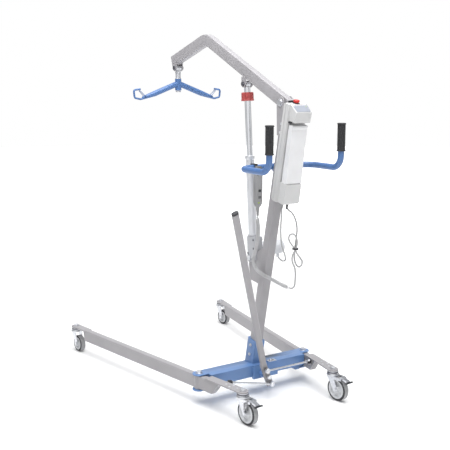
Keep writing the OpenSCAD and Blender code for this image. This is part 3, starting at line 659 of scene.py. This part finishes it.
def make_legs():
    """Each leg's tube, cut slanting at its ends, with its caster plates, pivot tube and tie rod lug."""
    for label, side in SIDES.items():
        tube = swept_box([Vector((-138, 0, LEG_TUBE_Z)), Vector((862, 0, LEG_TUBE_Z))], 30, LEG_TUBE_DEPTH, 4)
        for v in tube.verts:
            sink = (LEG_TUBE_Z + LEG_TUBE_DEPTH / 2 - v.co.z) / LEG_TUBE_DEPTH
            v.co.x += 46 * sink if v.co.x < 0 else -10 * sink
        rear = arc(ENDS["rear"]["reach"], 0, 23, 90, 270, 16) + [(-60, -20), (-60, 20)]
        front = [(840, 20), (840, -20)] + arc(ENDS["front"]["reach"], 0, 24, -58, 58, 16)
        lug_y = (-33, -14) if side > 0 else (14, 33)
        pivot = revolved([(8.2, 65.5), (20, 65.5), (20, 125.5), (8.2, 125.5)], 48, True)
        lug = block(-112, lug_y[0], 100, -92, lug_y[1], 104)
        solids = (tube, extruded(rear, 124, 130), extruded(front, 118, 124.3), pivot, lug)
        leg = piece(f"leg_tube_{label}", joined([(bm, Matrix()) for bm in solids]), GREY, leg_frame(side))
        on(bevelled(leg, 1.0), f"leg_{label}", [f"leg_{label}"])
        make_leg_fittings(label, side)


def make_leg_fittings(label, side):
    """Screws in the rear caster plate, and the weld beads beside it."""
    place = leg_frame(side)
    screws = []
    for x, y in ((-232, 0), (-200, -12), (-200, 12), (-170, 0)):
        head = revolved([(0, 132.6), (2.6, 132.6), (4.6, 131.4), (4.9, 130), (0, 130)], 24)
        screws.append((head, moved(x, y, 0)))
    heads = piece(f"leg_screws_{label}", joined(screws), ZINC, place)
    on(heads, f"leg_{label}")
    for y in (-15, 15):
        weld(f"plate_weld_{label}_{'out' if y * side > 0 else 'in'}", [(-132, y, 124.2), (-62, y, 124.2)],
             place, f"leg_{label}", GREY, 1.6, False)


def make_base():
    """The crossmember weldment, its bolts, and the adjuster plate beside the lever's bracket."""
    rounded_copy("base_frame", 1.2, BLUE, merge_flats=False)
    weld("socket_weld", [(-31, -25.5, 131.5), (27, -25.5, 131.5), (27, 25.5, 131.5), (-31, 25.5, 131.5)],
         ORIGIN, "base_frame", BLUE)
    rounded_copy("lever_bracket", 0.6, BLUE)
    for node in ("lever_pivot_bolt", "leg_pivot_bolts", "frame_screws", "boom_pivot_bolt"):
        rounded_copy(node, 0.6, ZINC)
    sheet = extruded(rounded_outline(26, 40, 4), 0, 2.4)
    plate = bevelled(piece("adjuster_plate", sheet, ZINC, ORIGIN @ moved(-46, -66, 134)), 0.6, 2)
    on(plate, "lever_bracket")
    # A thin dark sheet on the adjuster plate paints the shade inside its slot
    slot_shade = extruded(rounded_outline(9, 24, 4.4), 0, 0.5)
    on(piece("adjuster_slot_shade", slot_shade, DARK_STEEL_AND_SHADE, ORIGIN @ moved(-46, -66, 136.2)), "lever_bracket")
    hexagon = revolved([(0, 7), (3, 7), (5.2, 6), (6, 4), (6, 0), (0, 0)], 6)
    bolt = bevelled(piece("adjuster_bolt", hexagon, ZINC, ORIGIN @ moved(-46, -60, 136.4)), 0.4, 2)
    on(bolt, "lever_bracket")


# ---- Handlebar, lever and linkage ----


def make_handles():
    """The handlebar and its ribbed foam grips."""
    # The handlebar takes the darker copy of the frame's blue, a painted shade
    painted("handlebar", BLUE_SHADED)
    rings = []
    for i in range(19):
        z = 8 + i * 5
        rings += [(16, z), (16, z + 2.4), (15.5, z + 3), (15.5, z + 4.4)]
    profile = [(0, 110), (13, 110)] + arc(14.5, 107, 3, 90, 0, 4) + [(17.5, 105.2), (16.2, 104)]
    profile += rings[::-1] + [(16, 5), (18, 4), (18, 0.5), (17.4, 0), (12.6, 0)]
    for label, side in SIDES.items():
        grip = piece(f"foam_grip_{label}", revolved(profile, 64), GRIP,
                     ORIGIN @ moved(-345, side * 174, 1062))
        on(grip, f"grip_{label}", [f"grip_{label}"])


def make_lever():
    painted("lever", GREY)
    rounded_copy("lever_cap", 2.0, BLACK)
    for label, side in SIDES.items():
        painted(f"tie_rod_{label}", ZINC)
        make_tie_ends(label, side)


def make_tie_ends(label, side):
    """Rubber boots, caps and nuts of a tie rod's joints, at the lever's stud and at the leg."""
    node = f"tie_rod_{label}"
    z = -side * STUD_REACH
    stud = Vector((STUD_X, z * math.sin(LEVER_TILT), LEVER_PIVOT_Z + z * math.cos(LEVER_TILT)))
    at_stud = ORIGIN @ moved(*stud) @ ALONG_X
    boot = revolved([(5.2, 5), (9.4, 5.2), (9.8, 6), (8.2, 8), (7.6, 9), (8.4, 10.4), (7.2, 12), (6.6, 13.5),
                     (5.2, 13.5)], 32)
    on(piece(f"stud_boot_{label}", boot, BLACK, at_stud), node)
    cap = revolved([(0, -7.4), (3.5, -7.4), (5.6, -6.6), (6.4, -5), (6.4, -4.6)], 32)
    on(piece(f"stud_cap_{label}", cap, ZINC, at_stud), node)
    end = Vector((-97, side * 234, 114))
    skirt = revolved([(4.2, -8.8), (6.6, -8.6), (8.8, -6), (9.4, -3), (9.6, 0), (9.2, 2), (8.2, 2.6)], 32)
    on(piece(f"leg_boot_{label}", skirt, BLACK, ORIGIN @ moved(*end)), node)
    along = (stud - end).normalized()
    at_end = ORIGIN @ moved(*end) @ along.to_track_quat("Z", "Y").to_matrix().to_4x4()
    jam = revolved([(4.2, 14), (7, 14.3), (7.5, 15), (7.5, 19), (7, 19.7), (4.2, 20)], 6)
    on(bevelled(piece(f"tie_nut_{label}", jam, ZINC, at_end), 0.3, 2), node)
    if label == "left":
        sleeve = revolved([(4.2, 36), (7, 36.4), (9.4, 39), (10.2, 43), (10.2, 50), (9.4, 54), (7.4, 57),
                           (4.2, 57.4)], 40)
        on(piece("tie_boot", sleeve, BLACK, at_end), node)
        lock = revolved([(4.2, 58), (7, 58.3), (7.6, 59), (7.6, 64), (7, 64.7), (6, 65), (6, 74),
                         (4.2, 75)], 6)
        on(bevelled(piece("tie_lock", lock, ZINC, at_end), 0.3, 2), node)


# ---- Casters ----

TYRE_DEPTH = 15


def wheel_profiles(radius):
    """One half of the hub and tyre profiles, as (radius, offset along the axle)."""
    rim = radius - TYRE_DEPTH
    hub = [(5.2, -14.3), (10.4, -14.3), (11, -13.6), (12.4, -7), (rim * 0.6, -4.6), (rim * 0.8, -5),
           (rim - 2.5, -9), (rim - 1, -12.6), (rim + 0.4, -13.5), (rim + 5.2, -13.6), (rim + 5.8, -12.9),
           (rim, -4)]
    tyre = [(rim, -4), (rim + 5.6, -12.7), (rim + 10, -12.8)]
    tyre += [(radius - 3 + 3 * math.cos(a), -10 - 2.6 * math.sin(a)) for a in (1.3, 1.0, 0.7, 0.35)]
    tyre += [(radius, -8.5), (radius, -2)]
    return hub, tyre


def mirrored(profile):
    return profile + [(r, -y) for r, y in reversed(profile)]


def make_wheel(label, end, side):
    radius = ENDS[end]["wheel"] / 2
    place = caster_frame(side, ENDS[end]["reach"]) @ moved(-ENDS[end]["trail"], 0, radius) @ ALONG_Y
    hub, tyre = wheel_profiles(radius)
    parts = [(revolved(mirrored(hub), 64, True), Matrix())]
    for k in range(5):
        for face in (-1, 1):
            boss = revolved([(0, 7.6), (2.6, 7.6), (3.4, 7), (3.8, 4), (0, 4)], 16)
            spot = turned(math.radians(72 * k), "Z") @ moved((radius - TYRE_DEPTH) * 0.62, 0, 0)
            parts.append((boss, (turned(math.pi, "X") if face < 0 else Matrix()) @ spot))
    disc = piece(f"{end}_disc_{label}", joined(parts), HUB, place)
    on(disc, f"{end}_hub_{label}", [f"{end}_hub_{label}"])
    bm = revolved(mirrored(tyre), 72, True)
    for face in bm.faces:
        y = sum(v.co.z for v in face.verts) / len(face.verts)
        face.material_index = 1 if abs(y) > 10.4 else 0
    ring = piece(f"{end}_tread_{label}", bm, [TREAD, TYRE_SIDE], place, 50)
    on(ring, f"{end}_tyre_{label}", [f"{end}_tyre_{label}"])


def make_fork(label, end, side):
    """The fork, the seal and dome of its swivel bearing, and the washer on the leg's plate."""
    node = f"{end}_fork_{label}"
    rounded_copy(node, 0.7, ZINC)
    place = caster_frame(side, ENDS[end]["reach"])
    top, plate = ENDS[end]["top"], ENDS[end]["plate"]
    seal = [(21.5, -9.5), (23, -9.5), (23.6, -8), (23.6, -4), (23, -2.8), (21.5, -2.8)]
    dome = [(19, -21.5), (23, -21.2), (26.4, -18.5), (27, -16.5), (26.4, -14.6), (23, -13.2)]
    washer = [(6.2, 0), (12.4, 0), (12.6, 1.2), (6.2, 1.4)]
    rings = (("seal", seal, top, 64, DARK_STEEL_AND_SHADE), ("dome", dome, top, 64, ZINC),
             ("washer", washer, plate, 40, ZINC))
    for name, profile, base, steps, material in rings:
        shape = revolved([(r, base + h) for r, h in profile], steps)
        on(piece(f"{end}_{name}_{label}", shape, material, place), node)


def make_pedal(label, side):
    """The ribbed brake pedal with its cross bar and pin."""
    node = f"brake_pedal_{label}"
    place = caster_frame(side, ENDS["rear"]["reach"]) @ moved(-54, 0, 103) @ turned(math.radians(-14), "Y")
    pad = [(-37, -2), (-2, -2), (4, 0), (3, 4.6), (-2, 5.4), (-36, 3.4)]
    solids = [plate_bm(pad, -11, 11)]
    for k in range(6):
        x, top = -34 + 6 * k, 5.6 + 0.2 * k
        solids.append(plate_bm([(x, 2), (x + 3, 2), (x + 2.6, top), (x + 0.4, top)], -10, 10))
    solids.append(plate_bm(arc(0, 0, 6, 0, 345, 23), -13, 13))
    pedal = bevelled(piece(f"pedal_{label}", joined([(bm, Matrix()) for bm in solids]), ZINC, place), 0.5, 2)
    on(pedal, node, [node])
    bar = plate_bm([(x - 41.5, z + 0.5) for x, z in rounded_outline(8, 5, 2)], -20, 20)
    on(bevelled(piece(f"pedal_bar_{label}", bar, BLACK, place), 0.8, 2), node)
    pin = revolved([(0, -18.8), (2.6, -18.8), (3.5, -18.2), (3.5, 18.2), (2.6, 18.8), (0, 18.8)], 32)
    on(piece(f"pedal_pin_{label}", pin, ZINC, place @ ALONG_Y), node)


def make_casters():
    for label, side in SIDES.items():
        for end in ENDS:
            make_fork(label, end, side)
            make_wheel(label, end, side)
        make_pedal(label, side)


# ---- Actuator ----


def make_actuator():
    """The gear housing, finned motor, outer tube, rod and lowering ring."""
    painted("gear_housing", ACTUATOR_GREY)
    rounded_copy("actuator_foot_pin", 0.8, ZINC)
    can = [(19, 0), (19, 8), (28, 8), (29.6, 9), (30, 11)]
    for z in range(18, 43, 5):
        can += [(30, z), (28.8, z + 0.8), (28.8, z + 3), (30, z + 3.8)]
    can += [(30, 96), (29.2, 96.8), (29.2, 98.4), (30, 99.2), (30, 116)]
    can += arc(24, 120, 6, 0, 90, 6) + [(12, 126.4), (11, 125.4), (0, 125.4)]
    motor = piece("motor_can", revolved(can, 72), MOTOR_WHITE, ACTUATOR @ moved(0, -22, 32) @ STANDING)
    on(motor, "motor", ["motor"])
    inlet = revolved([(4.2, 0), (5.4, 0), (6, 8), (6.6, 14), (6.6, 20), (4.2, 20)], 32, True)
    on(piece("motor_inlet", inlet, MOTOR_WHITE, ORIGIN @ moved(3, -130, 579)), "motor")
    tube = [(18, 90), (18, 414), (20, 415), (20.6, 417), (20.6, 429), (20, 431), (18.6, 432), (14.2, 432),
            (13.6, 431), (13.4, 420)]
    outer = piece("outer_tube", revolved(tube), ALUMINIUM, ACTUATOR)
    on(outer, "actuator_tube", ["actuator_tube"])
    flange = revolved([(18, 88), (22, 88), (22.5, 89), (22.5, 96), (21.5, 97.5), (18, 98)])
    on(piece("tube_flange", flange, ACTUATOR_GREY, ACTUATOR), "gear_housing")
    screws = []
    for x, z in ((-33, 2), (-33, 42), (-33, 78), (9, 20)):
        for turn in (STANDING, ALONG_Y):
            head = revolved([(0, 24), (2.2, 24), (4.4, 23.4), (5, 22), (0, 22)], 24)
            screws.append((head, moved(x, 0, z) @ turn))
    on(piece("housing_screws", joined(screws), DARK_STEEL_AND_SHADE, ACTUATOR), "gear_housing")
    painted("rod", CHROME)
    rounded_copy("rod_eye", 1.2, ALUMINIUM)
    for node in ("rod_pin", "hanger_pin"):
        rounded_copy(node, 0.7, DARK_STEEL_AND_SHADE)
    make_ring()


def make_ring():
    """The fluted lowering ring, flared at its foot."""
    flutes, depth, bore, flare = 8, 3.0, 20, 5.5
    profile = [(13.4, 0), (25.5, 0), (27, 1), (27, 4.6), (26, 6), (25.4, 9), (25.6, 15), (25.6, 22),
               (25.6, 29), (25.2, 33), (23.6, 35), (16, 35), (14, 34), (13.4, 31)]
    bm = revolved(profile, 128, True)
    for v in bm.verts:
        r = math.hypot(v.co.x, v.co.y)
        if r > bore and v.co.z > flare:
            a = math.atan2(v.co.y, v.co.x)
            cut = depth * max(0.0, math.cos(flutes * a)) ** 0.5
            v.co.x *= (r - cut) / r
            v.co.y *= (r - cut) / r
    ring = piece("fluted_ring", bm, RING_RED, ACTUATOR @ moved(0, 0, ACT_LEN - 70), 40)
    on(ring, "lowering_ring", ["lowering_ring"])


# ---- Sling bar ----


def make_sling_bar():
    # The sling bar takes the darker copy of the frame's blue, a painted shade
    painted("spreader_bar", BLUE_SHADED)
    rounded_copy("hanger", 0.8, ZINC)
    rounded_copy("spreader_nut", 0.6, ZINC)
    for label in SIDES:
        painted(f"hook_gate_{label}", BLUE_GATE)
    washer = revolved([(7.2, 0), (14, 0), (14.4, 0.5), (14.4, 2), (13.6, 2.6), (7.2, 2.6)], 48)
    on(piece("hub_washer", washer, ZINC, ORIGIN @ moved(HANGER_TOP.x, 0, 1345)), "hanger")


# ---- Control box ----


def make_control_box():
    """The housing with its side rails, label and stop button, and the battery with its latch."""
    rounded_copy("control_box", 2.2, HOUSING)
    ribs = []
    for y0, y1 in ((-43.4, -41.5), (41.5, 43.4)):
        for x0, x1 in ((-36, -22), (-57, -39)):
            ribs.append((block(x0, y0, 764, x1, y1, 1142), Matrix()))
    rails = bevelled(piece("side_rails", joined(ribs), HOUSING, MAST), 1.2)
    on(rails, "control_box")
    outline = [(-66.3, 841.4), (-62.8, 1070), (-62.8, 1074), (-83, 1074), (-86.5, 1071), (-87, 1062),
               (-84.5, 1056), (-85.5, 1051), (-98, 846), (-95.5, 841.4)]
    pack = piece("battery_case", plate_bm(outline, -38, 38), BATTERY, MAST)
    on(bevelled(pack, 2.4, 4, 20), "battery_pack", ["battery_pack"])
    film = piece("label_panel", extruded(rounded_outline(34, 68, 4), -0.4, 0.5), LABEL, LABEL_FACE)
    on(bevelled(film, 0.3, 2), "control_box")
    lamp = revolved([(0, 1.5), (1.2, 1.4), (2, 0.9), (2.2, 0.3), (0, 0.3)], 24)
    on(piece("charge_lamp", lamp, GREEN, LABEL_FACE @ moved(9, -24, 0)), "control_box")
    latch = bevelled(piece("battery_latch", block(-74, 30, 1079, -62, 42.6, 1086.5), BLACK, MAST), 1, 2)
    on(latch, "control_box")
    button = [(0, 17), (8.5, 17)] + arc(9.5, 14.5, 2.5, 90, 0, 4)
    button += [(12, 9.5), (11.2, 8.2), (7.4, 8), (7.4, 0), (0, 0)]
    stop = piece("stop_button", revolved(button, 48), RED, MAST @ moved(BUTTON_X, 0, 1147))
    on(stop, "emergency_button", ["emergency_button"])
    collar = revolved([(9, 1150), (13, 1150), (13.4, 1150.6), (13, 1152), (9.4, 1152.4)], 48)
    on(piece("stop_collar", collar, BLACK, MAST @ moved(BUTTON_X, 0, 0)), "control_box")


def make_reliefs():
    """Tapered strain reliefs where the leads leave the control box."""
    box_floor = 756
    leads = (("motor", MOTOR_ROUTE, HANDSET_GREY), ("handset", CORD_ROUTE, HANDSET_DARK))
    for name, route, material in leads:
        foot = MAST.inverted() @ ORIGIN @ Vector(route[0])
        high = box_floor - foot.z
        profile = [(3.05, -17), (3.6, -17)]
        for k in range(4):
            z, r = -16 + 4 * k, 3.7 + 0.4 * k
            profile += [(r, z), (r + 0.5, z + 1), (r + 0.5, z + 2.4), (r - 0.1, z + 2.8)]
        profile += [(6, 1), (6.4, high - 5.4), (7.6, high - 5), (7.6, high - 0.2), (0, high)]
        relief = piece(f"{name}_relief", revolved(profile, 32), material, MAST @ moved(*foot))
        on(relief, "cable_glands", ["cable_glands"] if name == "motor" else ())


# ---- Handset ----


def lofted(sections):
    """A closed body through rounded rectangles given as (height, x size, y size, corner)."""
    bm = bmesh.new()
    rings = [[bm.verts.new((x, y, z)) for x, y in rounded_outline(w, h, r, 6)] for z, w, h, r in sections]
    for lower, upper in zip(rings, rings[1:]):
        for k in range(len(lower)):
            j = (k + 1) % len(lower)
            bm.faces.new([lower[k], lower[j], upper[j], upper[k]])
    bm.faces.new(rings[0][::-1])
    bm.faces.new(rings[-1])
    return bm


def make_handset():
    """The handset with its cap and hook, button bezel, green mark, screws and ribbed cord boot."""
    body = lofted([(0, 15, 17, 7), (1.5, 18, 21, 8), (6, 22, 28, 9), (14, 25, 33.5, 10), (24, 26, 36, 10),
                   (70, 26, 36, 10), (118, 26, 36, 10), (141, 25.4, 35.4, 10)])
    shell = piece("handset_shell", body, HANDSET_GREY, HANDSET)
    on(shell, "handset", ["handset"])
    cap = lofted([(141, 26, 36, 10), (142, 26.4, 36.4, 10), (150, 25, 35, 10), (156, 21.5, 32, 9),
                  (160, 16, 27, 7.5), (162, 9, 20, 4.4)])
    on(piece("handset_cap", cap, HANDSET_DARK, HANDSET), "handset")
    bars = (block(11, -6, 130, 13.8, 6, 170), block(11, -6, 166, 43.5, 6, 170),
            block(40.5, -6, 156, 43.5, 6, 170))
    hook = piece("handset_hook", joined([(bm, Matrix()) for bm in bars]), HANDSET_DARK, HANDSET)
    on(bevelled(hook, 0.8, 2), "handset")
    bezel = piece("button_bezel", extruded(rounded_outline(46, 20, 4), 0, 0.7), HANDSET_GREY,
                  HANDSET @ moved(-12.7, 0, 53) @ turned(math.radians(-90), "Y"))
    on(bevelled(bezel, 0.3, 2), "handset")
    mark = piece("state_mark", extruded(rounded_outline(5, 9, 2.2), 0, 0.6), GREEN,
                 HANDSET @ moved(-12.4, 4, 18) @ turned(math.radians(-84), "Y"))
    on(mark, "handset")
    screws = []
    for y in (-10, 10):
        head = revolved([(0, 0.8), (1.4, 0.8), (2.2, 0.2), (2.2, -0.4), (0, -0.4)], 20)
        screws.append((head, moved(-13, y, 128) @ turned(math.radians(-90), "Y")))
    on(piece("handset_screws", joined(screws), DARK_STEEL_AND_SHADE, HANDSET), "handset")
    profile = [(2.4, -36), (4, -36)]
    for k in range(6):
        z, r = -34 + 5 * k, 4.2 + 0.5 * k
        profile += [(r, z), (r + 0.5, z + 1.2), (r + 0.5, z + 3), (r, z + 3.6)]
    profile += [(7.4, -2), (8.4, 0.6), (0, 0.6)]
    boot = piece("handset_boot", revolved(profile, 32), HANDSET_GREY, HANDSET)
    on(boot, "handset_relief", ["handset_relief"])
    rounded_copy("up_button", 0.8, BLACK)
    rounded_copy("down_button", 0.8, HANDSET_DARK)


# ---- Floor and light ----

FLOOR_RADIUS = 14

def mapped(look, value, low_in, high_in, low_out, high_out):
    """A socket's value carried from one range to another."""
    n = look.node("ShaderNodeMapRange")
    limits = {"From Min": low_in, "From Max": high_in, "To Min": low_out, "To Max": high_out}
    for socket, number in limits.items():
        n.inputs[socket].default_value = number
    look.join(value, n.inputs["Value"])
    return n.outputs["Result"]


def make_stage():
    """A large round pale floor that glows far out, but less in reflections, so that chrome shows."""
    bm = bmesh.new()
    bmesh.ops.create_circle(bm, cap_ends=True, segments=96, radius=FLOOR_RADIUS)
    look = Look("stage_paper", (0.93, 0.93, 0.93), 0.8)
    look.tint(look.noise(3, 2), 0.01)
    look.rough(look.noise(30, 2), 0.75, 0.85)
    look.set("Emission Color", (1, 1, 1, 1))
    away = look.node("ShaderNodeVectorMath", operation="LENGTH")
    look.join(look.place, away.inputs[0])
    glow = mapped(look, away.outputs["Value"], 1.5, 5.5, 0.02, 0.95)
    gloss = mapped(look, look.node("ShaderNodeLightPath").outputs["Is Glossy Ray"], 0, 1, 1, 0.3)
    shown = look.node("ShaderNodeMath", operation="MULTIPLY")
    look.join(glow, shown.inputs[0])
    look.join(gloss, shown.inputs[1])
    look.join(shown.outputs["Value"], look.shader.inputs["Emission Strength"])
    piece("floor", bm, look.material, moved(0, 0, -0.0005))


def area_light(name, place, aim, size, power):
    data = bpy.data.lights.new(name, "AREA")
    data.shape = "RECTANGLE"
    data.size, data.size_y = size
    data.energy = power
    light = bpy.data.objects.new(name, data)
    bpy.context.collection.objects.link(light)
    light.location = place
    light.rotation_euler = (Vector(aim) - Vector(place)).to_track_quat("-Z", "Y").to_euler()


# Brightness of the soft light by height, and of the studio that gloss reflects by bearing
SKY_LEVELS = ((0.0, 0.30), (0.06, 0.10), (0.30, 0.24), (0.75, 0.70))
FLAG_LEVELS = ((0.0, 0.85), (0.06, 0.85), (0.08, 0.10), (0.10, 0.10), (0.12, 0.95), (0.18, 0.85),
               (0.24, 0.40), (0.35, 0.26), (0.385, 0.80), (0.44, 0.80), (0.475, 0.26), (0.58, 0.40),
               (0.65, 0.80), (0.70, 0.95), (0.715, 0.12), (0.74, 0.12), (0.76, 0.85))


def sky_ramp(tree, fac, levels):
    """A grey ramp from (position, brightness) stops."""
    ramp = tree.nodes.new("ShaderNodeValToRGB")
    stops = ramp.color_ramp.elements
    for position, level in levels:
        stop = stops[0] if position == 0 else stops.new(position)
        stop.position = position
        stop.color = (level * 0.98, level * 0.99, level, 1)
    tree.links.new(fac, ramp.inputs["Fac"])
    return ramp.outputs["Color"]


def make_light():
    """A white backdrop, dim soft light from the sky, and a studio of bright and dark strips for gloss."""
    world = bpy.data.worlds.new("studio")
    bpy.context.scene.world = world
    world.use_nodes = True
    tree = world.node_tree
    background = tree.nodes["Background"]
    view = tree.nodes.new("ShaderNodeTexCoord").outputs["Generated"]
    height = tree.nodes.new("ShaderNodeSeparateXYZ")
    tree.links.new(view, height.inputs["Vector"])
    around = tree.nodes.new("ShaderNodeTexGradient")
    around.gradient_type = "RADIAL"
    tree.links.new(view, around.inputs["Vector"])
    tree.links.new(sky_ramp(tree, height.outputs["Z"], SKY_LEVELS), background.inputs["Color"])
    studio = tree.nodes.new("ShaderNodeBackground")
    tree.links.new(sky_ramp(tree, around.outputs["Fac"], FLAG_LEVELS), studio.inputs["Color"])
    white = tree.nodes.new("ShaderNodeBackground")
    white.inputs["Color"].default_value = (1, 1, 1, 1)
    rays = tree.nodes.new("ShaderNodeLightPath")
    shown = background.outputs["Background"]
    for ray, other in (("Is Glossy Ray", studio), ("Is Camera Ray", white)):
        both = tree.nodes.new("ShaderNodeMixShader")
        tree.links.new(rays.outputs[ray], both.inputs[0])
        tree.links.new(shown, both.inputs[1])
        tree.links.new(other.outputs["Background"], both.inputs[2])
        shown = both.outputs["Shader"]
    tree.links.new(shown, tree.nodes["World Output"].inputs["Surface"])
    area_light("top", (-0.6, 0.4, 3.8), (0, 0, 0.5), (3.4, 3.4), 185)
    area_light("key", (-3.6, -0.6, 2.6), (0, 0, 0.7), (1.8, 2.4), 3)
    settings = bpy.context.scene.view_settings
    settings.view_transform = "Standard"
    settings.look = "None"


# ---- The lift ----

make_mast()
make_boom()
make_legs()
make_base()
make_handles()
make_lever()
make_casters()
make_actuator()
make_sling_bar()
make_control_box()
make_reliefs()
make_handset()
painted("control_board", BOARD)
make_stage()
make_light()
